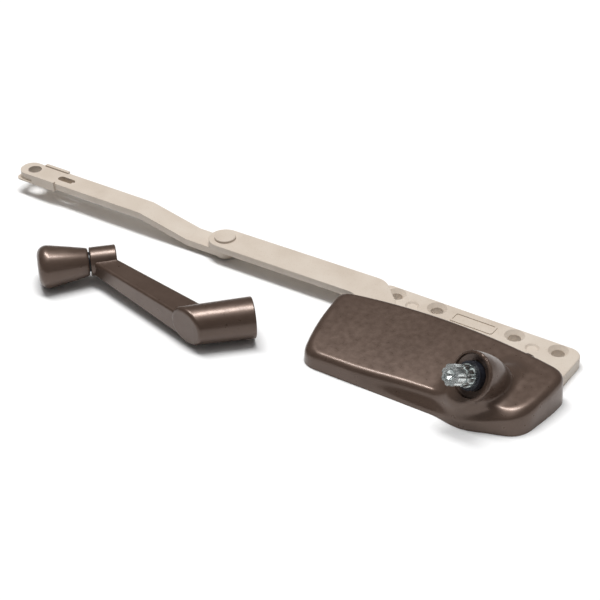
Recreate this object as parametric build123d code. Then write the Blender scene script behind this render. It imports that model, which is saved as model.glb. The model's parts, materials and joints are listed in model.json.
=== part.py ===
from build123d import *
from math import cos, pi, radians, sin
import os

# Two-link (dyad) casement-window operator with its crank handle taken off and laid beside it.
# Millimetres. The origin is the centre of the screw-hole pattern on the bottom plane of the base.
# +X runs along the flange away from the arms, +Y points out of the window, +Z is up.

os.makedirs("parts", exist_ok=True)

# Base casting
FLANGE_LENGTH = 95.2
FLANGE_THICK = 5.2
FLANGE_BACK_Y = 5.0
FLANGE_FRONT_Y = -17.0
FLANGE_CORNER_R = 5.7
OUTER_HOLE_SPACING = 76.2
INNER_HOLE_SPACING = 36.5
SCREW_HOLE_R = 2.75
COUNTERSINK_R = 4.3
COUNTERSINK_DEPTH = 1.6
DIMPLE_X = 28.2
DIMPLE_Y = -3.8
FLOOR_THICK = 2.6

# Cover shell
COVER_FRONT_Y = -58.0
COVER_WALL = 1.6
COVER_TOP_Z = 14.2
CROWN_Y = -22.0
CROWN_R = 165.0
COVER_EDGE_R = 3.6
SHOULDER_INSET = 2.4
SKIRT_Z = 6.0
BASE_GAP = 0.4
FLANGE_GAP = 0.15
SLOT_RIGHT_X = 42.0
SLOT_TOP_Z = 10.2
BOSS_BORE_R = 8.75
BOSS_WEB_R = 6.0
CHIN_R = 9.3
CHIN_AT = (24.5, -48.5)

# Worm shaft: it leans toward the viewer's left and rises out of the boss
SHAFT_LEAN = 18.0
SHAFT_RISE = 27.0
BOSS_FACE = (25.7, -52.5, 21.0)
SPLINE_R = 4.4
SPLINE_ROOT_R = 3.85
SPLINE_FLUTES = 8
SPLINE_START = 2.7
SPLINE_END = 12.0
COLLAR_R = 4.7
JOURNAL_R = 4.0
BUSHING_R = 6.3
BUSHING_NECK_R = 5.8
BUSHING_IN = -8.0
BUSHING_OUT = 1.4
TUBE_R = 7.4
TUBE_IN = -8.6
TUBE_OUT = -2.5
SHAFT_CORE_R = 2.2
WORM_IN = -31.6
WORM_OUT = -25.0
WORM_ROOT_R = 2.95
WORM_RELIEF_R = 3.95
END_IN = -36.4
END_BUSHING_R = 3.25
END_RING_R = 4.4

# Main arm and its pivot
PIVOT = (19.2, -23.9)
STUD_R = 3.5
SECTOR_TEETH = 26
SECTOR_MODULE = 0.8
SECTOR_TIP_R = 11.0
SECTOR_ROOT_R = 9.4
SECTOR_FROM = -32.0
SECTOR_TO = 100.0
ARM_Z = 6.0
STOCK = 3.2
ARM_WIDTH = 15.0
STAMPED_EDGE_R = 0.4
ELBOW = (-122.0, -7.8)
ARM_OUT_Y = -6.1
ROOT_BEND_X = -47.2

# Link and lock clip, measured outward from the elbow
LINK_Z = 2.3
LINK_LENGTH = 109.5
LINK_WIDTH = 10.8
LINK_REST = 180.6
LINK_RAMP_FROM = 17.5
LINK_RAMP_TO = 43.5
LINK_RISE = 5.5
LINK_TIP = 7.0
STUD_HOLE_R = 3.2
LINK_SLOT_X = 90.3
LINK_SLOT_LENGTH = 9.3
LINK_SLOT_WIDTH = 3.5
CLIP_WALL = 0.7
CLIP_GAP = 0.1
CLIP_IN = 93.3
CLIP_WALL_OUT = 107.0
RIVET_R = 3.0
RIVET_HEAD_R = 4.85

# Crank handle: u along the hub's axis toward its mouth, v toward the knob, w up
HANDLE_MOUTH = (-76.1, -51.8, 9.5)
HANDLE_TURN = 45.0
HUB_MOUTH_R = 8.8
HUB_INNER_R = 8.1
HUB_LENGTH = 40.0
MITRE_EDGE_R = 1.8
SOCKET_DEPTH = 13.0
SOCKET_LEAD = 3.0
SOCKET_LEAD_R = 5.0
SOCKET_GAP = 0.1
CRANK_RADIUS = 56.9
BAR_HUB_SIZE = (12.2, 11.6)
BAR_BOSS_SIZE = (9.0, 7.0)
KNOB_BOSS_R = 6.3
KNOB_BOSS_FROM = -62.0
KNOB_BOSS_TO = -50.5
KNOB_SMALL_R = 6.2
KNOB_BIG_R = 9.4
KNOB_LENGTH = 22.0
KNOB_GAP = 0.6
KNOB_PIN_R = 2.4

lean = radians(SHAFT_LEAN)
rise = radians(SHAFT_RISE)
SHAFT_AXIS = (-sin(lean) * cos(rise), -cos(lean) * cos(rise), sin(rise))
SHAFT = Plane(origin=BOSS_FACE, x_dir=(cos(lean), -sin(lean), 0), z_dir=SHAFT_AXIS)


def rod(r, z0, z1, x=0.0, y=0.0):
    """Upright cylinder of radius r from z0 to z1 at x, y."""
    return Pos(x, y, (z0 + z1) / 2) * Cylinder(r, z1 - z0)


def ring(r_out, r_in, z0, z1, x=0.0, y=0.0):
    """Upright ring from z0 to z1."""
    return rod(r_out, z0, z1, x, y) - rod(r_in, z0 - 1, z1 + 1, x, y)


def block(x0, x1, y0, y1, z0, z1):
    """Box between two opposite corners."""
    middle = Pos((x0 + x1) / 2, (y0 + y1) / 2, (z0 + z1) / 2)
    return middle * Box(x1 - x0, y1 - y0, z1 - z0)


def prism(points, z0, z1):
    """Upright prism over a closed outline of straight sides."""
    return Pos(0, 0, z0) * extrude(make_face(Polyline(*points, close=True)), z1 - z0)


def on_shaft(shape):
    """Place a shape built along +Z, with its zero at the boss face, on the shaft's axis."""
    return SHAFT.location * shape


def on_pivot(shape):
    return Pos(PIVOT[0], PIVOT[1], 0) * shape


def cover_outline(inset=0.0):
    """Plan outline of the cover's wall, drawn in by inset round its front right corner."""
    front_left = (-48.6, COVER_FRONT_Y)
    front_right = (21.0, COVER_FRONT_Y + inset / 2)
    front_corner = (48.8 - inset, -51.6 + 0.8 * inset)
    right = (52.4 - 0.6 * inset, -30.0)
    back_right = (52.4, -20.3)
    back_left = (-53.9, -19.0)
    left = (-53.2, -38.5)
    sides = [
        Line(front_left, front_right),
        ThreePointArc(front_right, (36.5 - 0.3 * inset, -56.3 + 0.8 * inset), front_corner),
        Line(front_corner, right),
        Line(right, back_right),
        ThreePointArc(back_right, (0.0, -14.9), back_left),
        Line(back_left, left),
        Line(left, front_left),
    ]
    face = make_face(sides)
    radii = ((front_left, 6.0), (front_corner, 4.5), (back_right, 5.0), (back_left, 4.0))
    for corner, r in radii:
        vertex = face.vertices().sort_by_distance((corner[0], corner[1], 0))[0]
        face = fillet(vertex, r)
    return face


def crowned(face, top, edge_r):
    """Upright body over a plan face with a crowned top and rounded top edges."""
    crown = Pos(0, CROWN_Y, top - CROWN_R) * Rot(0, 90, 0) * Cylinder(CROWN_R, 200)
    body = extrude(face, top + 1) & crown
    rim = [e for e in body.edges() if e.bounding_box().min.Z > 6]
    return fillet(rim, edge_r)


def boss_body(profile):
    """Round body on the shaft's axis through (along axis, radius) points, outermost first."""
    rim_a, rim_r = profile[0]
    end_a, end_r = profile[-1]
    half = [
        Line((0, rim_a), (rim_r, rim_a)),
        Spline(*[(r, a) for a, r in profile]),
        Line((end_r, end_a), (0, end_a)),
        Line((0, end_a), (0, rim_a)),
    ]
    return on_shaft(revolve(Plane.XZ * make_face(half), Axis.Z))


def chin(r):
    """Upright column under the boss's rim."""
    return rod(r, 0, COVER_TOP_Z + 2, *CHIN_AT)


def make_cover():
    upper_outline = cover_outline(SHOULDER_INSET)
    boss = boss_body([(0.0, 10.0), (-6.0, 9.3), (-12.0, 7.8), (-16.0, 6.0), (-19.0, 4.4), (-24.0, 3.6)])
    outer = crowned(upper_outline, COVER_TOP_Z, COVER_EDGE_R)
    outer += extrude(cover_outline(), SKIRT_Z)
    outer += boss & block(-60, 60, -70, 0, 2, 40)
    outer += chin(CHIN_R) & boss_shadow()
    inner_outline = offset(upper_outline, -COVER_WALL)
    hollow = crowned(inner_outline, COVER_TOP_Z - COVER_WALL, COVER_EDGE_R - COVER_WALL)
    hollow += extrude(offset(cover_outline(), -COVER_WALL), SKIRT_Z - COVER_WALL)
    hollow += boss_body([(-2.2, 8.6), (-6.0, 8.1), (-12.0, 6.6), (-16.0, 4.9), (-19.0, 3.3), (-24.0, 2.6)])
    hollow += on_shaft(rod(BOSS_WEB_R, -3, 1) + rod(BOSS_BORE_R, -1.4, 1))
    hollow += block(-45, 45, -50, -25, -1, 1)
    hollow += on_shaft(rod(WORM_RELIEF_R, WORM_IN - 0.4, WORM_OUT + 0.3))
    foot_room = on_shaft(block(-5.0, 5.0, -20.0, 0.0, TUBE_IN - 0.5, -2.2))
    hollow += foot_room & block(-60, 60, -54.2, 0, 0, 40)
    half = FLANGE_LENGTH / 2 + 2 * FLANGE_GAP
    flange_gap = block(-half, half, -26, 0, -1, FLANGE_THICK + FLANGE_GAP)
    arm_slot = block(-half, SLOT_RIGHT_X, -26, 0, 0, SLOT_TOP_Z)
    lug = rod(1.8, 9.6, 12.4, 34.2, -16.8)
    return (outer + lug) - hollow - flange_gap - arm_slot


def boss_shadow():
    """Everything behind the plane of the boss's rim."""
    return on_shaft(block(-60, 60, -60, 60, -60, 0))


def make_base():
    flange = block(-FLANGE_LENGTH / 2, FLANGE_LENGTH / 2, FLANGE_FRONT_Y, FLANGE_BACK_Y, 0, FLANGE_THICK)
    corners = flange.edges().filter_by(Axis.Z).group_by(Axis.Y)[-1]
    flange = fillet(corners, FLANGE_CORNER_R)
    flange = fillet([e for e in flange.edges().group_by(Axis.Z)[-1] if e.center().Y > FLANGE_FRONT_Y + 1], 0.7)
    floor = extrude(offset(cover_outline(), -COVER_WALL - BASE_GAP), FLOOR_THICK)
    base = flange + floor + on_pivot(rod(7.0, 0, 5.3))
    base += shaft_tower()
    for spacing in (OUTER_HOLE_SPACING, INNER_HOLE_SPACING):
        for side in (-1, 1):
            base -= screw_hole(side * spacing / 2)
    for side in (-1, 1):
        base -= Pos(side * DIMPLE_X, DIMPLE_Y, FLANGE_THICK - 0.35) * Cone(2.2, 3.0, 0.7)
    base += name_plate_frame()
    return base - on_pivot(rod(2.5, -1, 6)) - shaft_bores()


def screw_hole(x):
    """Countersunk through hole on the flange's centre line."""
    sink = Pos(x, 0, FLANGE_THICK - COUNTERSINK_DEPTH / 2) * Cone(
        SCREW_HOLE_R, COUNTERSINK_R, COUNTERSINK_DEPTH)
    return rod(SCREW_HOLE_R, -1, FLANGE_THICK + 1, x, 0) + sink


def name_plate_frame():
    """Blank raised frame on the flange between the inner holes."""
    outer = extrude(RectangleRounded(20.0, 6.6, 1.2), 0.4)
    inner = extrude(RectangleRounded(18.2, 4.8, 0.7), 0.4)
    return Pos(0, -1.6, FLANGE_THICK) * (outer - inner)


def shaft_tower():
    """Upper bearing tube and inner bearing ring, each on a pedestal down to the floor."""
    tube = rod(TUBE_R, TUBE_IN, TUBE_OUT)
    upper_foot = block(-4.4, 4.4, -30.0, 0.0, TUBE_IN, -4.5)
    inner = rod(END_RING_R, -37.6, -32.2)
    inner_foot = block(-END_RING_R, END_RING_R, -12.0, 0.0, -37.6, -32.2)
    solid = on_shaft(tube + upper_foot + inner + inner_foot)
    solid &= block(-50, 50, -53.6, -15.5, 0, 40)
    return solid


def shaft_bores():
    """Stepped upper bore with its ring groove, and the blind inner bore."""
    upper = rod(BUSHING_R + 0.05, BUSHING_IN, 0) + rod(4.9, -9, -7) + rod(6.75, -3.9, -3.2)
    return on_shaft(upper + rod(END_BUSHING_R + 0.05, END_IN, -31))


def make_shaft():
    collar = rod(COLLAR_R, 1.5, SPLINE_START)
    journal = rod(JOURNAL_R, -8.1, 1.5)
    core = rod(SHAFT_CORE_R, END_IN, -8.1)
    shaft = collar + journal + core
    shaft += spline(0.0, SPLINE_START, SPLINE_END) - ring(6, 3.6, 6.6, 7.8)
    shaft -= Pos(0, 0, SPLINE_END - 0.6) * Cone(0.6, 1.9, 1.3)
    return on_shaft(shaft)


def spline(gap, z0, z1):
    """Fluted bar with round-bottomed flutes, grown outward by gap."""
    bar = rod(SPLINE_R + gap, z0, z1)
    for i in range(SPLINE_FLUTES):
        angle = 2 * pi * (i + 0.5) / SPLINE_FLUTES
        flute_r = 1.2 - gap
        reach = SPLINE_ROOT_R + 1.2
        bar -= rod(flute_r, z0 - 1, z1 + 1, reach * cos(angle), reach * sin(angle))
    return bar


def make_worm():
    """Single-start thread on a sleeve; its lead is the sector's tooth spacing."""
    lead = pi * SECTOR_MODULE
    length = WORM_OUT - WORM_IN
    sleeve = ring(WORM_ROOT_R, SHAFT_CORE_R, WORM_IN, WORM_OUT)
    path = Helix(pitch=lead, height=length - 1.8, radius=WORM_ROOT_R)
    tooth = Plane(origin=path @ 0, x_dir=(1, 0, 0), z_dir=path % 0) * Polygon(
        (-0.1, -0.7), (0.8, -0.3), (0.8, 0.3), (-0.1, 0.7), align=None)
    thread = Pos(0, 0, WORM_IN + 0.9) * sweep(tooth, path, is_frenet=True)
    return on_shaft(sleeve + thread)


def make_bushing():
    body = ring(BUSHING_R, JOURNAL_R + 0.05, BUSHING_IN, -4.0)
    neck = ring(BUSHING_NECK_R, JOURNAL_R + 0.05, -4.0, BUSHING_OUT)
    return on_shaft(body + neck)


def arm_plan():
    """Dog-leg plan of the arm: a long bar to the elbow and a short bar to the pivot."""
    half = ARM_WIDTH / 2
    pivot_x, pivot_y = PIVOT
    step = ARM_OUT_Y - pivot_y
    slant = half * (2 ** 0.5 - 1)
    outline = [
        (ELBOW[0], ELBOW[1] + half - 0.1),
        (ROOT_BEND_X + slant, ARM_OUT_Y + half + 0.2),
        (ROOT_BEND_X + step + slant, pivot_y + half),
        (pivot_x, pivot_y + half),
        (pivot_x, pivot_y - half),
        (ROOT_BEND_X + step - slant, pivot_y - half),
        (ROOT_BEND_X - slant, ARM_OUT_Y - half - 0.2),
        (ELBOW[0], ELBOW[1] - half + 0.1),
    ]
    plan = make_face(Polyline(*outline, close=True))
    bends = (outline[1], outline[2], outline[5], outline[6])
    for x, y in bends:
        plan = fillet(plan.vertices().sort_by_distance((x, y, 0))[0], 9.0)
    return plan


def sector_teeth():
    """Ring of trapezoid teeth about the pivot, over the part of a turn that meets the worm."""
    teeth = rod(SECTOR_ROOT_R, ARM_Z, ARM_Z + STOCK)
    pitch = 360.0 / SECTOR_TEETH
    first = round(SECTOR_FROM / pitch)
    last = round(SECTOR_TO / pitch)
    tooth = prism([(9.0, -0.8), (SECTOR_TIP_R, -0.38), (SECTOR_TIP_R, 0.38), (9.0, 0.8)],
                  ARM_Z, ARM_Z + STOCK)
    for i in range(first, last + 1):
        teeth += Rot(0, 0, i * pitch) * tooth
    return teeth


def make_main_arm():
    bar = Pos(0, 0, ARM_Z) * extrude(arm_plan(), STOCK)
    end = rod(ARM_WIDTH / 2 - 0.1, ARM_Z, ARM_Z + STOCK, *ELBOW)
    arm = bar + end
    outer_bar = arm.edges().filter_by(lambda e: abs(e.center().Z - ARM_Z - STOCK / 2) > 1 and e.center().X < 0)
    arm = fillet(outer_bar, STAMPED_EDGE_R) + on_pivot(sector_teeth())
    arm -= on_pivot(rod(STUD_R + 0.05, 0, 20))
    return arm - rod(RIVET_R, 0, 20, *ELBOW)


def make_elbow_rivet():
    top = ARM_Z + STOCK
    head = rod(RIVET_HEAD_R, top, top + 1.2, *ELBOW)
    head = fillet(head.edges().group_by(Axis.Z)[-1], 0.5)
    tail = rod(4.5, LINK_Z - 1.3, LINK_Z - 0.1, *ELBOW)
    return head + rod(RIVET_R, LINK_Z - 0.1, top, *ELBOW) + tail


def from_elbow(shape):
    """Place a shape built along +X from the elbow onto the link's rest direction."""
    return Pos(ELBOW[0], ELBOW[1], 0) * Rot(0, 0, LINK_REST) * shape


def make_link():
    """Flat bar with a step up toward the sash, rounded at both ends."""
    high = LINK_Z + LINK_RISE
    end = LINK_LENGTH + LINK_TIP
    start = -LINK_WIDTH / 2
    side = [
        (start, LINK_Z), (LINK_RAMP_FROM, LINK_Z), (LINK_RAMP_TO, high), (end, high),
        (end, high + STOCK), (LINK_RAMP_TO, high + STOCK),
        (LINK_RAMP_FROM, LINK_Z + STOCK), (start, LINK_Z + STOCK),
    ]
    bar = extrude(Plane.XZ * make_face(Polyline(*side, close=True)), LINK_WIDTH / 2, both=True)
    bends = bar.edges().filter_by(Axis.Y).filter_by(lambda e: 10 < e.center().X < 50)
    bar = fillet(bends, 6.0)
    plan = Pos((start + end) / 2, 0) * RectangleRounded(end - start, LINK_WIDTH, LINK_WIDTH / 2 - 0.3)
    bar &= extrude(plan, 20)
    bar -= rod(RIVET_R + 0.05, 0, 20)
    bar -= rod(STUD_HOLE_R, 0, 20, LINK_LENGTH, 0)
    slot = Pos(LINK_SLOT_X, 0) * SlotOverall(LINK_SLOT_LENGTH, LINK_SLOT_WIDTH)
    return from_elbow(bar - extrude(slot, 20))


def make_lock_clip():
    """Channel of thin plate that wraps the link's sash end, with a keyhole and a stop tab."""
    floor_top = LINK_Z + LINK_RISE - CLIP_GAP
    floor_bottom = floor_top - CLIP_WALL
    link_top = LINK_Z + LINK_RISE + STOCK
    inner = LINK_WIDTH / 2 + CLIP_GAP
    outer = inner + CLIP_WALL
    tip = LINK_LENGTH + LINK_TIP
    middle = (CLIP_IN + tip) / 2
    plate = Pos(middle, 0, floor_bottom) * extrude(
        RectangleRounded(tip - CLIP_IN, 2 * outer, 2.5), CLIP_WALL)
    plate += block(CLIP_IN, CLIP_IN + 8, -outer, outer, floor_bottom, floor_top)
    clip = plate
    for side in (-1, 1):
        wall = (side * inner, side * outer)
        clip += block(CLIP_IN, CLIP_WALL_OUT, min(wall), max(wall), floor_bottom, link_top + 0.7)
        lip = (side * (inner - 0.8), side * outer)
        clip += block(CLIP_IN, CLIP_WALL_OUT, min(lip), max(lip), link_top + CLIP_GAP, link_top + 0.7)
    clip += block(86.4, CLIP_IN + 1, -1.4, 1.4, floor_bottom, floor_top)
    clip += block(86.4, 87.9, -1.4, 1.4, floor_bottom, link_top - 1.2)
    clip -= extrude(Pos(LINK_LENGTH - 3.0, 0) * SlotOverall(6.0 + 2 * 2.2, 4.4), 20)
    clip -= rod(STUD_HOLE_R + 0.1, 0, 20, LINK_LENGTH, 0)
    return from_elbow(clip)


def on_handle(shape):
    """Place a shape built in the handle's u, v, w frame."""
    return Pos(*HANDLE_MOUTH) * Rot(0, 0, HANDLE_TURN) * shape


def along_u(r, u0, u1, v=0.0):
    """Cylinder along u."""
    return Pos((u0 + u1) / 2, v, 0) * Rot(0, 90, 0) * Cylinder(r, u1 - u0)


def crank_bar():
    """Bar that tapers in width and height from the hub to the knob boss."""
    start = Plane(origin=(-20.6, -2.4, -1.0), z_dir=(-0.537, 0.843, 0), x_dir=(0.843, 0.537, 0))
    end = Plane(origin=(-57.4, CRANK_RADIUS - 2.3, -0.7), z_dir=(-0.537, 0.843, 0), x_dir=(0.843, 0.537, 0))
    hub_section = start * RectangleRounded(*BAR_HUB_SIZE, 1.2)
    boss_section = end * RectangleRounded(*BAR_BOSS_SIZE, 1.2)
    return loft([hub_section, boss_section])


def make_crank_arm():
    """Hub and knob boss at the two ends of the bar, each mitred flush with the bar's outer side."""
    hub = Pos(-HUB_LENGTH / 2, 0, 0) * Rot(0, 90, 0) * Cone(HUB_INNER_R, HUB_MOUTH_R, HUB_LENGTH)
    boss = along_u(KNOB_BOSS_R, KNOB_BOSS_FROM, KNOB_BOSS_TO, CRANK_RADIUS)
    outer_side = Plane(origin=(-25.7, -5.7, 0), z_dir=(-0.843, -0.537, 0))
    hub -= outer_side.location * Pos(0, 0, 50) * Box(200, 200, 100)
    mouth = hub.edges().group_by(Axis.X)[-1]
    hub = fillet(mouth, 0.5)
    mitre = hub.edges().filter_by(lambda e: e.center().X < -10 and e.length > 20)
    hub = fillet(mitre, MITRE_EDGE_R)
    arm = hub + crank_bar() + fillet(boss.edges(), 0.5)
    arm -= Rot(0, 90, 0) * spline(SOCKET_GAP, -SOCKET_DEPTH, 1)
    arm -= along_u(SOCKET_LEAD_R, -SOCKET_LEAD, 1)
    arm -= along_u(KNOB_PIN_R, KNOB_BOSS_FROM - 1, KNOB_BOSS_TO - 1.5, CRANK_RADIUS)
    arm -= rod(2.0, -20, 0, -8.0, 0)
    return on_handle(arm)


def make_set_screw():
    body = rod(2.0, -8.2, -4.6) - Pos(0, 0, -7.4) * extrude(RegularPolygon(1.15, 6), -2.0)
    return on_handle(Pos(-8.0, 0, 0) * body)


def make_knob_pin():
    shank = along_u(KNOB_PIN_R, -74.6, KNOB_BOSS_TO - 1.6, CRANK_RADIUS)
    head = along_u(3.6, -76.4, -74.6, CRANK_RADIUS)
    return on_handle(shank + head)


def make_knob():
    """Tapered knob with a rounded outer end, open to the pin's head through its core."""
    face = KNOB_BOSS_FROM - KNOB_GAP
    end = face - KNOB_LENGTH
    shoulder = end + 4.6
    half = [
        Line((face, 0), (face, KNOB_SMALL_R - 0.4)),
        Line((face, KNOB_SMALL_R - 0.4), (face - 0.5, KNOB_SMALL_R)),
        Line((face - 0.5, KNOB_SMALL_R), (shoulder, KNOB_BIG_R)),
        ThreePointArc((shoulder, KNOB_BIG_R), (end + 1.4, KNOB_BIG_R - 1.3), (end, KNOB_BIG_R - 4.6)),
        Line((end, KNOB_BIG_R - 4.6), (end, 0)),
        Line((end, 0), (face, 0)),
    ]
    knob = Pos(0, CRANK_RADIUS, 0) * revolve(make_face(half), Axis.X)
    knob -= along_u(KNOB_PIN_R + 0.08, -75, face + 1, CRANK_RADIUS)
    knob -= along_u(3.8, -76.7, -74.3, CRANK_RADIUS)
    return on_handle(knob)


def make_knob_washer():
    washer = along_u(4.3, KNOB_BOSS_FROM - 0.5, KNOB_BOSS_FROM - 0.05, CRANK_RADIUS)
    washer -= along_u(KNOB_PIN_R + 0.05, KNOB_BOSS_FROM - 2, KNOB_BOSS_FROM + 2, CRANK_RADIUS)
    return on_handle(washer)


def e_clip(z0, z1):
    """Open retaining ring for the stud's groove."""
    clip = ring(5.6, 2.75, z0, z1)
    return clip - block(-1.8, 1.8, 0, 8, z0 - 1, z1 + 1)


def make_stud():
    return rod(2.5, 0.0, 5.3) + rod(STUD_R, 5.3, 11.0) - ring(6, 2.7, 9.95, 10.65)


PARTS = {
    "base_casting": make_base,
    "cover": make_cover,
    "pivot_stud": lambda: on_pivot(make_stud()),
    "pivot_lower_washer": lambda: on_pivot(ring(7.4, STUD_R + 0.05, 5.35, 5.9)),
    "pivot_wave_washer": lambda: on_pivot(ring(6.4, STUD_R + 0.05, 9.3, 9.8)),
    "pivot_retaining_ring": lambda: on_pivot(e_clip(10.0, 10.6)),
    "shaft_bushing": make_bushing,
    "bushing_snap_ring": lambda: on_shaft(ring(6.7, 5.9, -3.85, -3.25)),
    "shaft_end_bushing": lambda: on_shaft(ring(END_BUSHING_R, SHAFT_CORE_R + 0.05, -36.3, -32.2)),
    "worm_shaft": make_shaft,
    "worm": make_worm,
    "shaft_thrust_washer": lambda: on_shaft(ring(4.7, 2.25, -9.1, -8.2)),
    "main_arm": make_main_arm,
    "elbow_rivet": make_elbow_rivet,
    "elbow_washer": lambda: ring(5.2, RIVET_R + 0.05, 5.55, 5.95, *ELBOW),
    "link_arm": make_link,
    "lock_clip": make_lock_clip,
    "crank_arm": make_crank_arm,
    "set_screw": make_set_screw,
    "knob_pin": make_knob_pin,
    "knob_washer": make_knob_washer,
    "crank_knob": make_knob,
}

for node, make in PARTS.items():
    export_step(make(), "parts/" + node + ".step")
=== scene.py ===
import json
from math import cos, pi, radians, sin
import bmesh
import bpy
import numpy as np
from mathutils import Matrix, Vector


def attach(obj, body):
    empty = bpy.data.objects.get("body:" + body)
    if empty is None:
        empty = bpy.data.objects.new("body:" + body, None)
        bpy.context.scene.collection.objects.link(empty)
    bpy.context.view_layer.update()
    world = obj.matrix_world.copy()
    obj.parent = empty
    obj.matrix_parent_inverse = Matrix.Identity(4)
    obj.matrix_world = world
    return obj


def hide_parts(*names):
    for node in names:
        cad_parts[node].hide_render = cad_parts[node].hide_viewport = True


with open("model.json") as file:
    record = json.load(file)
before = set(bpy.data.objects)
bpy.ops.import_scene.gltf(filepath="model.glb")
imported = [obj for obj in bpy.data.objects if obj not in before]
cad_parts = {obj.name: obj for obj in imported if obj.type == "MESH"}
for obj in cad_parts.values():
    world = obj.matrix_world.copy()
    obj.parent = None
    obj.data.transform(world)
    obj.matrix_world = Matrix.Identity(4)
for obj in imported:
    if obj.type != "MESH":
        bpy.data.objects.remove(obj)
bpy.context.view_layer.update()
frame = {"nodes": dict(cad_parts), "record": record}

MM = 0.001

# Camera: eye place in metres, then its direction and lens
EYE = Vector((0.2619, -0.5183, 0.4135))
AZIMUTH = radians(34.0)
ELEVATION = radians(34.5)
ROLL = radians(-0.9)
LENS = 102.0

# Cover, in millimetres
COVER_FRONT_Y = -58.0
COVER_TOP_Z = 14.4
TOP_BACK_Y = -16.0
TOP_SLOPE_LEFT = 0.10
TOP_SLOPE_RIGHT = 0.05
TOP_CROWN_R = 330.0
SIDE_CROWN_R = 1600.0
FRONT_CORNER = (48.8, -51.6)
RIGHT_MIDDLE = (52.4, -30.0)
BACK_RIGHT = (52.4, -20.3)
BACK_LEFT = (-53.9, -19.0)
FRONT_LEFT = (-48.6, COVER_FRONT_Y)
FRONT_ARC = ((21.0, COVER_FRONT_Y), (36.5, -56.3), FRONT_CORNER)
BACK_ARC = (BACK_RIGHT, (0.0, -14.9), BACK_LEFT)
LEFT_ARC = (BACK_LEFT, (-53.2, -38.5), FRONT_LEFT)
COVER_WALL = 1.3
BOSS_FACE = np.array((25.7, -52.5, 21.0))
BOSS_PROFILE = ((0.0, 10.0), (-6.0, 9.3), (-12.0, 7.8), (-16.0, 6.0), (-19.0, 4.4), (-24.0, 3.6))
CHIN_AT = (24.5, -48.5)
CHIN_R = 9.3
BOSS_LENGTH = 24.0
BOSS_BLEND = 6.5
SIDE_DRAFT = 0.04
EDGE_SOFT = 2.8
END_SOFT = 1.2
LEDGE_X = (-10, 14, 24, 36, 46)
LEDGE_Z = (1.0, 1.2, 2.2, 5.0, 8.0)
LEDGE_RISE = 5.0
LEDGE_DEPTH = 2.6
LUG_AT = (34.2, -17.0)
LUG_R = 1.7
LUG_TOP = 13.1
FLANGE_HALF = 47.9
FLANGE_GAP_TOP = 5.35
ARM_SLOT_RIGHT = 42.0
ARM_SLOT_TOP = 10.2
WORM_FROM = -24.7
WORM_TO = -32.0
WORM_RELIEF_R = 3.95
START_TOP = 13.4
START_SLOPE = 0.13
VOXEL = 0.8
LEAN = radians(18.0)
RISE = radians(27.0)
AXIS = np.array((-sin(LEAN) * cos(RISE), -cos(LEAN) * cos(RISE), sin(RISE)))

# Crank knob, in millimetres along the handle's u axis
HANDLE_MOUTH = Vector((-76.1, -51.8, 9.5))
HANDLE_TURN = radians(45.0)
CRANK_RADIUS = 56.9
KNOB_FACE = -62.6
KNOB_PROFILE = (
    (0.0, 2.6), (0.0, 5.5), (-0.15, 5.9), (-0.5, 6.15), (-1.0, 6.3), (-9.0, 7.9), (-16.8, 9.32),
    (-17.6, 9.4), (-18.6, 9.32), (-19.8, 8.9), (-20.9, 8.0), (-21.6, 6.8), (-21.95, 5.0), (-22.0, 2.5),
    (-22.0, 0.0))

# Light: a wide lamp overhead, in metres and watts, and a dim world with a pale ceiling
LAMP_PLACE = (-0.35, 0.15, 2.0)
LAMP_SIZE = (1.5, 0.4)
LAMP_POWER = 40
ROOM_STRENGTH = 0.12
CEILING_STRENGTH = 1.0
CEILING_EDGE = (0.8, 0.97)


def look():
    """Camera axes from azimuth, elevation and roll."""
    turn = Matrix.Rotation(AZIMUTH, 3, "Z") @ Matrix.Rotation(radians(90) - ELEVATION, 3, "X")
    return turn @ Matrix.Rotation(ROLL, 3, "Z")


def make_camera():
    data = bpy.data.cameras.new("camera")
    data.lens = LENS
    data.sensor_width = 36.0
    data.clip_start = 0.01
    data.dof.use_dof = False
    camera = bpy.data.objects.new("camera", data)
    camera.matrix_world = Matrix.Translation(EYE) @ look().to_4x4()
    bpy.context.scene.collection.objects.link(camera)
    bpy.context.scene.camera = camera


make_camera()


# Materials

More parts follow.
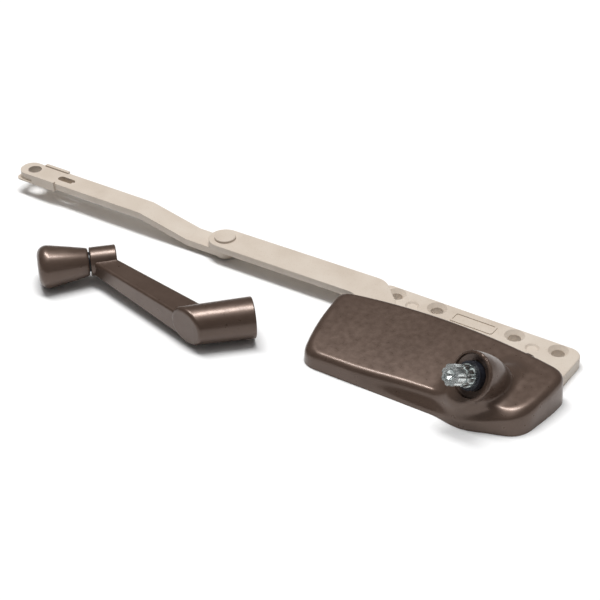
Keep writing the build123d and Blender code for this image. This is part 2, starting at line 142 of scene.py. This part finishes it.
class Shade:
    """A material whose nodes are fed from object coordinates in metres."""

    def __init__(self, name, roughness, metallic=0.0):
        self.material = bpy.data.materials.new(name)
        self.material.use_nodes = True
        self.nodes = self.material.node_tree.nodes
        self.links = self.material.node_tree.links
        self.shader = self.nodes["Principled BSDF"]
        self.shader.inputs["Roughness"].default_value = roughness
        self.shader.inputs["Metallic"].default_value = metallic
        self.coords = self.nodes.new("ShaderNodeTexCoord").outputs["Object"]

    def noise(self, size_mm, detail=3.0, stretch=None):
        """Noise whose features are about size_mm across; stretch scales x, y and z."""
        coords = self.coords
        if stretch:
            mapping = self.nodes.new("ShaderNodeMapping")
            mapping.inputs["Scale"].default_value = stretch
            self.links.new(coords, mapping.inputs["Vector"])
            coords = mapping.outputs["Vector"]
        node = self.nodes.new("ShaderNodeTexNoise")
        node.inputs["Scale"].default_value = 1.0 / (size_mm * MM)
        node.inputs["Detail"].default_value = detail
        self.links.new(coords, node.inputs["Vector"])
        return node.outputs["Fac"]

    def ramp(self, value, stops):
        node = self.nodes.new("ShaderNodeValToRGB")
        elements = node.color_ramp.elements
        while len(elements) < len(stops):
            elements.new(0.5)
        for element, (place, color) in zip(elements, stops):
            element.position = place
            element.color = (*color, 1.0)
        self.links.new(value, node.inputs["Fac"])
        return node.outputs["Color"]

    def multiply(self, factor, a, b):
        """Colour a darkened by colour b, in part."""
        node = self.nodes.new("ShaderNodeMix")
        node.data_type = "RGBA"
        node.blend_type = "MULTIPLY"
        sockets = [s for s in node.inputs if s.type == "RGBA"]
        node.inputs["Factor"].default_value = factor
        self.links.new(a, sockets[0])
        self.links.new(b, sockets[1])
        return [s for s in node.outputs if s.type == "RGBA"][0]

    def span(self, value, low, high):
        """Map 0.3..0.7 of a noise onto low..high."""
        node = self.nodes.new("ShaderNodeMapRange")
        node.inputs["From Min"].default_value = 0.3
        node.inputs["From Max"].default_value = 0.7
        node.inputs["To Min"].default_value = low
        node.inputs["To Max"].default_value = high
        self.links.new(value, node.inputs["Value"])
        return node.outputs["Result"]

    def color(self, output):
        self.links.new(output, self.shader.inputs["Base Color"])

    def rough(self, output):
        self.links.new(output, self.shader.inputs["Roughness"])

    def bump(self, *layers):
        """Stack bumps of (height output, depth in mm)."""
        normal = None
        for height, depth_mm in layers:
            node = self.nodes.new("ShaderNodeBump")
            node.inputs["Strength"].default_value = 1.0
            node.inputs["Distance"].default_value = depth_mm * MM
            self.links.new(height, node.inputs["Height"])
            if normal:
                self.links.new(normal, node.inputs["Normal"])
            normal = node.outputs["Normal"]
        self.links.new(normal, self.shader.inputs["Normal"])


def cream_enamel():
    """Baked enamel over stamped and cast metal: faint clouds, fine peel and small specks."""
    s = Shade("cream_enamel", 0.42)
    cloud = s.ramp(s.noise(14.0, 4.0), ((0.34, (0.565, 0.485, 0.405)), (0.5, (0.60, 0.52, 0.44)),
                                        (0.68, (0.63, 0.555, 0.475))))
    specks = s.ramp(s.noise(0.55, 2.0), ((0.30, (0.78, 0.74, 0.66)), (0.38, (1, 1, 1))))
    s.color(s.multiply(0.5, cloud, specks))
    s.rough(s.span(s.noise(3.0, 3.0), 0.36, 0.52))
    s.bump((s.noise(1.1, 2.0), 0.035), (s.noise(0.3, 2.0), 0.012))
    s.shader.inputs["Coat Weight"].default_value = 0.12
    s.shader.inputs["Coat Roughness"].default_value = 0.3
    return s.material


def brown_enamel():
    """Brown enamel with a metallic glint over a smooth casting."""
    s = Shade("brown_enamel", 0.34, 0.45)
    cloud = s.ramp(s.noise(22.0, 3.0), ((0.32, (0.108, 0.070, 0.052)), (0.5, (0.122, 0.080, 0.060)),
                                        (0.68, (0.134, 0.090, 0.068))))
    flake = s.ramp(s.noise(0.3, 1.0), ((0.40, (0.88, 0.88, 0.88)), (0.62, (1.0, 0.99, 0.98))))
    s.color(s.multiply(0.8, cloud, flake))
    s.rough(s.span(s.noise(2.6, 3.0), 0.27, 0.38))
    s.bump((s.noise(2.4, 2.0), 0.009), (s.noise(0.45, 1.0), 0.005))
    s.shader.inputs["Coat Weight"].default_value = 0.25
    s.shader.inputs["Coat Roughness"].default_value = 0.16
    return s.material


def bright_zinc():
    """Bright zinc plate: cool grey, blotchy, with fine turning marks."""
    s = Shade("bright_zinc", 0.24, 1.0)
    s.color(s.ramp(s.noise(1.6, 4.0), ((0.32, (0.50, 0.55, 0.55)), (0.5, (0.74, 0.78, 0.77)),
                                       (0.66, (0.88, 0.91, 0.90)))))
    s.rough(s.span(s.noise(0.8, 3.0), 0.16, 0.34))
    s.bump((s.noise(0.5, 2.0, (1.0, 1.0, 6.0)), 0.02))
    return s.material


def grained(name, colors, rough, depth_mm, metallic=0.0, size_mm=0.4):
    """A small part's finish: two tones, uneven gloss and a fine grain."""
    s = Shade(name, rough, metallic)
    s.color(s.ramp(s.noise(size_mm * 4, 3.0), ((0.35, colors[0]), (0.65, colors[1]))))
    s.rough(s.span(s.noise(size_mm * 2, 2.0), rough - 0.07, rough + 0.08))
    s.bump((s.noise(size_mm, 2.0), depth_mm))
    return s.material


def floor_finish():
    s = Shade("studio_floor", 0.75)
    s.color(s.ramp(s.noise(60.0, 3.0), ((0.3, (0.90, 0.90, 0.90)), (0.7, (0.93, 0.93, 0.93)))))
    s.bump((s.noise(1.5, 2.0), 0.01))
    return s.material


FINISH = {
    "cream_paint": cream_enamel(),
    "brown_paint": brown_enamel(),
    "zinc_steel": bright_zinc(),
    "black_oxide": grained("black_oxide", ((0.014, 0.014, 0.016), (0.03, 0.03, 0.032)), 0.42, 0.008, 0.6),
    "black_plastic": grained("black_plastic", ((0.010, 0.011, 0.016), (0.020, 0.021, 0.028)), 0.38, 0.012),
    "white_nylon": grained("white_nylon", ((0.62, 0.61, 0.57), (0.72, 0.71, 0.68)), 0.48, 0.01),
    "bronze": grained("bronze", ((0.40, 0.25, 0.11), (0.56, 0.37, 0.18)), 0.44, 0.012, 1.0),
}
SLOT_OF = {part["node"]: part["material_slot"] for part in frame["record"]["subparts"]}


def finish_cad_nodes():
    for node, slot in SLOT_OF.items():
        slots = frame["nodes"][node].data.materials
        slots.clear()
        slots.append(FINISH[slot])


finish_cad_nodes()


# Mesh helpers: shapes are worked out in millimetres and put in metres at the end

def face_outward(mesh):
    bm = bmesh.new()
    bm.from_mesh(mesh)
    bmesh.ops.recalc_face_normals(bm, faces=bm.faces)
    bm.to_mesh(mesh)
    bm.free()


def mesh_object(name, points, faces):
    mesh = bpy.data.meshes.new(name)
    mesh.from_pydata([tuple(p) for p in points], [], faces)
    face_outward(mesh)
    obj = bpy.data.objects.new(name, mesh)
    bpy.context.scene.collection.objects.link(obj)
    return obj


def apply_modifier(obj, kind, **settings):
    modifier = obj.modifiers.new(kind.lower(), kind)
    for key, value in settings.items():
        setattr(modifier, key, value)
    with bpy.context.temp_override(object=obj, active_object=obj, selected_objects=[obj]):
        bpy.ops.object.modifier_apply(modifier=modifier.name)


def cut(obj, *tools):
    for tool in tools:
        apply_modifier(obj, "BOOLEAN", operation="DIFFERENCE", solver="MANIFOLD", object=tool)
        bpy.data.objects.remove(tool)


def lathe(name, profile, place, steps=96):
    """Turn (along, radius) points round the local x axis; place is a matrix in millimetres."""
    points, faces, rings = [], [], []
    for along, r in profile:
        count = steps if r > 0 else 1
        rings.append(range(len(points), len(points) + count))
        for i in range(count):
            t = 2 * pi * i / steps
            points.append(place @ Vector((along, r * cos(t), r * sin(t))))
    for a, b in zip(rings, rings[1:]):
        for i in range(steps):
            j = (i + 1) % steps
            quad = [a[i % len(a)], a[j % len(a)], b[j % len(b)], b[i % len(b)]]
            faces.append(list(dict.fromkeys(quad)))
    return mesh_object(name, points, faces)


def prism(name, outline, z0, z1):
    n = len(outline)
    points = [(x, y, z) for z in (z0, z1) for x, y in outline]
    faces = [list(reversed(range(n))), list(range(n, 2 * n))]
    faces += [[i, (i + 1) % n, n + (i + 1) % n, n + i] for i in range(n)]
    return mesh_object(name, points, faces)


def block(name, x0, x1, y0, y1, z0, z1):
    return prism(name, [(x0, y0), (x1, y0), (x1, y1), (x0, y1)], z0, z1)


def join(first, *others):
    for obj in others:
        first.data = merged(first.data, obj.data)
        bpy.data.objects.remove(obj)
    return first


def merged(a, b):
    bm = bmesh.new()
    bm.from_mesh(a)
    bm.from_mesh(b)
    out = bpy.data.meshes.new(a.name)
    bm.to_mesh(out)
    bm.free()
    return out


def finish_piece(obj, slot, body, *nodes, sharp=32.0):
    """Scale to metres, shade, give a finish, tie the piece to its body and hide the CAD nodes it stands in
    for.
    """
    obj.data.transform(Matrix.Scale(MM, 4))
    face_outward(obj.data)
    obj.data.shade_smooth()
    obj.data.set_sharp_from_angle(angle=radians(sharp))
    obj.data.materials.clear()
    obj.data.materials.append(FINISH[slot])
    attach(obj, body)
    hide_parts(*nodes)


# Cover: a smooth form described by a distance function, with crisp cuts

def circle_distance(x, y, arc):
    """Distance outside the circle through an arc's three points."""
    (ax, ay), (bx, by), (cx, cy) = arc
    d = 2 * (ax * (by - cy) + bx * (cy - ay) + cx * (ay - by))
    sa, sb, sc = ax * ax + ay * ay, bx * bx + by * by, cx * cx + cy * cy
    ux = (sa * (by - cy) + sb * (cy - ay) + sc * (ay - by)) / d
    uy = (sa * (cx - bx) + sb * (ax - cx) + sc * (bx - ax)) / d
    return np.hypot(x - ux, y - uy) - np.hypot(ax - ux, ay - uy)


def outline_distance(x, y, z):
    """Signed distance to the cover's plan outline, with softer corners higher up."""
    front = np.where(x > FRONT_ARC[0][0], circle_distance(x, y, FRONT_ARC), COVER_FRONT_Y - y)
    along = np.subtract(RIGHT_MIDDLE, FRONT_CORNER)
    along /= np.hypot(*along)
    slant = (x - FRONT_CORNER[0]) * along[1] - (y - FRONT_CORNER[1]) * along[0]
    right = smooth_max(slant, x - RIGHT_MIDDLE[0], 1.0)
    near_side = smooth_max(front, right, 5.0 + 0.35 * np.clip(z, 0, 12))
    far_side = smooth_max(circle_distance(x, y, BACK_ARC), circle_distance(x, y, LEFT_ARC), 4.5)
    return smooth_max(near_side, far_side, 6.0)


def smooth_max(a, b, k):
    h = np.maximum(k - np.abs(a - b), 0) / k
    return np.maximum(a, b) + h * h * k / 4


def smooth_min(a, b, k):
    return -smooth_max(-a, -b, k)


def step(low, high, v):
    t = np.clip((v - low) / (high - low), 0, 1)
    return t * t * (3 - 2 * t)


def profile_radius(along):
    """Boss radius by a smooth curve through the profile's points."""
    a = np.array([p[0] for p in BOSS_PROFILE])[::-1]
    r = np.array([p[1] for p in BOSS_PROFILE])[::-1]
    slope = np.gradient(r, a)
    i = np.clip(np.searchsorted(a, along) - 1, 0, len(a) - 2)
    width = a[i + 1] - a[i]
    t = np.clip((along - a[i]) / width, 0, 1)
    keep = (1 + 2 * t) * (1 - t) ** 2 * r[i] + t * t * (3 - 2 * t) * r[i + 1]
    return keep + width * (t * (1 - t) ** 2 * slope[i] - t * t * (1 - t) * slope[i + 1])


def cover_form(p):
    """Distance-like value of the cover's outer form, negative inside."""
    x, y, z = p.T
    near = 1 - step(-56, -44, y)
    ledge = np.interp(x, LEDGE_X, LEDGE_Z)
    inset = SIDE_DRAFT * z + near * step(-28, 10, x) * LEDGE_DEPTH * step(ledge, ledge + LEDGE_RISE, z)
    side = outline_distance(x, y, z) + inset
    slope = TOP_SLOPE_LEFT + (TOP_SLOPE_RIGHT - TOP_SLOPE_LEFT) * step(0, 44, x)
    ahead = TOP_BACK_Y - y
    top = COVER_TOP_Z - slope * ahead - ahead ** 2 / (2 * TOP_CROWN_R) - x ** 2 / (2 * SIDE_CROWN_R)
    soft = EDGE_SOFT + END_SOFT * step(40, 50, np.abs(x))
    soft = soft + (EDGE_SOFT - soft) * step(-30, -18, y)
    body = smooth_max(side, z - top, soft)
    rel = p - BOSS_FACE
    along = rel @ AXIS
    out = np.linalg.norm(rel - along[:, None] * AXIS, axis=1)
    boss = smooth_max(out - profile_radius(along), -along - BOSS_LENGTH, 2.0)
    chin = np.hypot(x - CHIN_AT[0], y - CHIN_AT[1]) - CHIN_R - 0.04 * (10 - z)
    chin = smooth_max(chin, z - 16.0, 2.0)
    boss = smooth_max(smooth_min(boss, chin, 3.0), along, 0.9)
    form = smooth_min(body, boss, BOSS_BLEND)
    lug = smooth_max(np.hypot(x - LUG_AT[0], y - LUG_AT[1]) - LUG_R, z - LUG_TOP, 1.0)
    return smooth_min(form, lug, 1.0)


def settle(obj, value, rounds):
    """Move a mesh's points onto the surface where the form has the given value."""
    count = len(obj.data.vertices)
    flat = np.empty(count * 3)
    obj.data.vertices.foreach_get("co", flat)
    p = flat.reshape(-1, 3)
    for _ in range(rounds):
        f = cover_form(p) - value
        grad = np.stack([(cover_form(p + e) - value - f) / 0.02 for e in np.eye(3) * 0.02], axis=1)
        move = grad * (f / np.maximum((grad ** 2).sum(1), 0.2))[:, None]
        size = np.linalg.norm(move, axis=1)
        p = p - move * np.minimum(1, 0.8 / np.maximum(size, 1e-9))[:, None]
    obj.data.vertices.foreach_set("co", p.ravel())
    obj.data.update()


def shaft_place():
    """Matrix that puts local x along the shaft, from the boss's face outward."""
    turn = Vector((1, 0, 0)).rotation_difference(Vector(AXIS)).to_matrix().to_4x4()
    return Matrix.Translation(Vector(BOSS_FACE)) @ turn


def cover_skin(name, value, finer):
    """Closed skin of the form at a value, running a little below the sill plane."""
    outline = (FRONT_LEFT, *FRONT_ARC, RIGHT_MIDDLE, BACK_RIGHT, BACK_ARC[1], BACK_LEFT)
    start = prism(name, outline, -3.0, 11.5)
    for vertex in start.data.vertices:
        if vertex.co.z > 0:
            vertex.co.z = START_TOP + START_SLOPE * (vertex.co.y - TOP_BACK_Y)
    boss_profile = ((0.0, 0.0), (0.0, 9.0), (-12.0, 7.0), (-18.0, 4.0), (-18.0, 0.0))
    boss = lathe("boss", boss_profile, shaft_place(), 32)
    upright = Matrix.Translation((*CHIN_AT, 0)) @ Matrix.Rotation(radians(-90), 4, "Y")
    chin = lathe("chin", ((-3.0, 0.0), (-3.0, 8.0), (11.0, 8.0), (11.0, 0.0)), upright, 32)
    join(start, boss, chin)
    apply_modifier(start, "REMESH", mode="VOXEL", voxel_size=VOXEL)
    settle(start, value, 5)
    apply_modifier(start, "SMOOTH", factor=0.5, iterations=3)
    settle(start, value, 3)
    if finer:
        apply_modifier(start, "SUBSURF", levels=1, subdivision_type="SIMPLE")
        settle(start, value, 3)
    return start


def make_cover():
    cover = cover_skin("cover_shell", 0.0, True)
    place = shaft_place()
    inside = cover_skin("inside", -COVER_WALL, False)
    cut(inside, lathe("face", ((-2.4, 0.0), (-2.4, 14.0), (4.0, 14.0), (4.0, 0.0)), place, 48))
    bore = lathe("bore", ((2.0, 0.0), (2.0, 8.9), (-0.1, 8.85), (-1.0, 8.5), (-1.7, 7.2), (-1.9, 6.0),
                          (-4.0, 6.0), (-4.0, 0.0)), place)
    below = block("below", -80, 80, -80, 20, -20, 0.02)
    flange_gap = block("flange_gap", -FLANGE_HALF, FLANGE_HALF, -26, 0, -1, FLANGE_GAP_TOP)
    arm_slot = block("arm_slot", -FLANGE_HALF, ARM_SLOT_RIGHT, -26, 0, 1, ARM_SLOT_TOP)
    relief_profile = ((WORM_FROM, 0.0), (WORM_FROM, WORM_RELIEF_R), (WORM_TO, WORM_RELIEF_R), (WORM_TO, 0.0))
    worm_relief = lathe("worm_relief", relief_profile, place)
    cut(cover, inside, bore, below, flange_gap, arm_slot, worm_relief)
    finish_piece(cover, "brown_paint", "base", "cover")


def make_knob():
    place = Matrix.Translation(HANDLE_MOUTH) @ Matrix.Rotation(HANDLE_TURN, 4, "Z")
    place = place @ Matrix.Translation((KNOB_FACE, CRANK_RADIUS, 0))
    knob = lathe("knob_body", KNOB_PROFILE, place)
    finish_piece(knob, "brown_paint", "knob", "crank_knob", sharp=50.0)


make_cover()
make_knob()


# Studio

def make_floor():
    floor = mesh_object("floor", [(-4, -4, 0), (4, -4, 0), (4, 4, 0), (-4, 4, 0)], [[0, 1, 2, 3]])
    floor.data.materials.append(floor_finish())


def area(name, place, size, power):
    """A rectangular lamp that shines straight down."""
    data = bpy.data.lights.new(name, "AREA")
    data.shape = "RECTANGLE"
    data.size, data.size_y = size
    data.energy = power
    lamp = bpy.data.objects.new(name, data)
    lamp.location = place
    bpy.context.scene.collection.objects.link(lamp)


def make_world(low, high):
    """A dim room under a pale ceiling."""
    world = bpy.data.worlds.new("world")
    bpy.context.scene.world = world
    world.use_nodes = True
    nodes = world.node_tree.nodes
    links = world.node_tree.links
    split = nodes.new("ShaderNodeSeparateXYZ")
    links.new(nodes.new("ShaderNodeTexCoord").outputs["Generated"], split.inputs["Vector"])
    rise = nodes.new("ShaderNodeMapRange")
    rise.interpolation_type = "SMOOTHSTEP"
    rise.inputs["From Min"].default_value = CEILING_EDGE[0]
    rise.inputs["From Max"].default_value = CEILING_EDGE[1]
    rise.inputs["To Min"].default_value = low
    rise.inputs["To Max"].default_value = high
    links.new(split.outputs["Z"], rise.inputs["Value"])
    links.new(rise.outputs["Result"], nodes["Background"].inputs["Strength"])
    nodes["Background"].inputs["Color"].default_value = (1.0, 1.0, 1.0, 1.0)


make_floor()
area("overhead", LAMP_PLACE, LAMP_SIZE, LAMP_POWER)
make_world(ROOM_STRENGTH, CEILING_STRENGTH)
bpy.context.scene.view_settings.view_transform = "Standard"
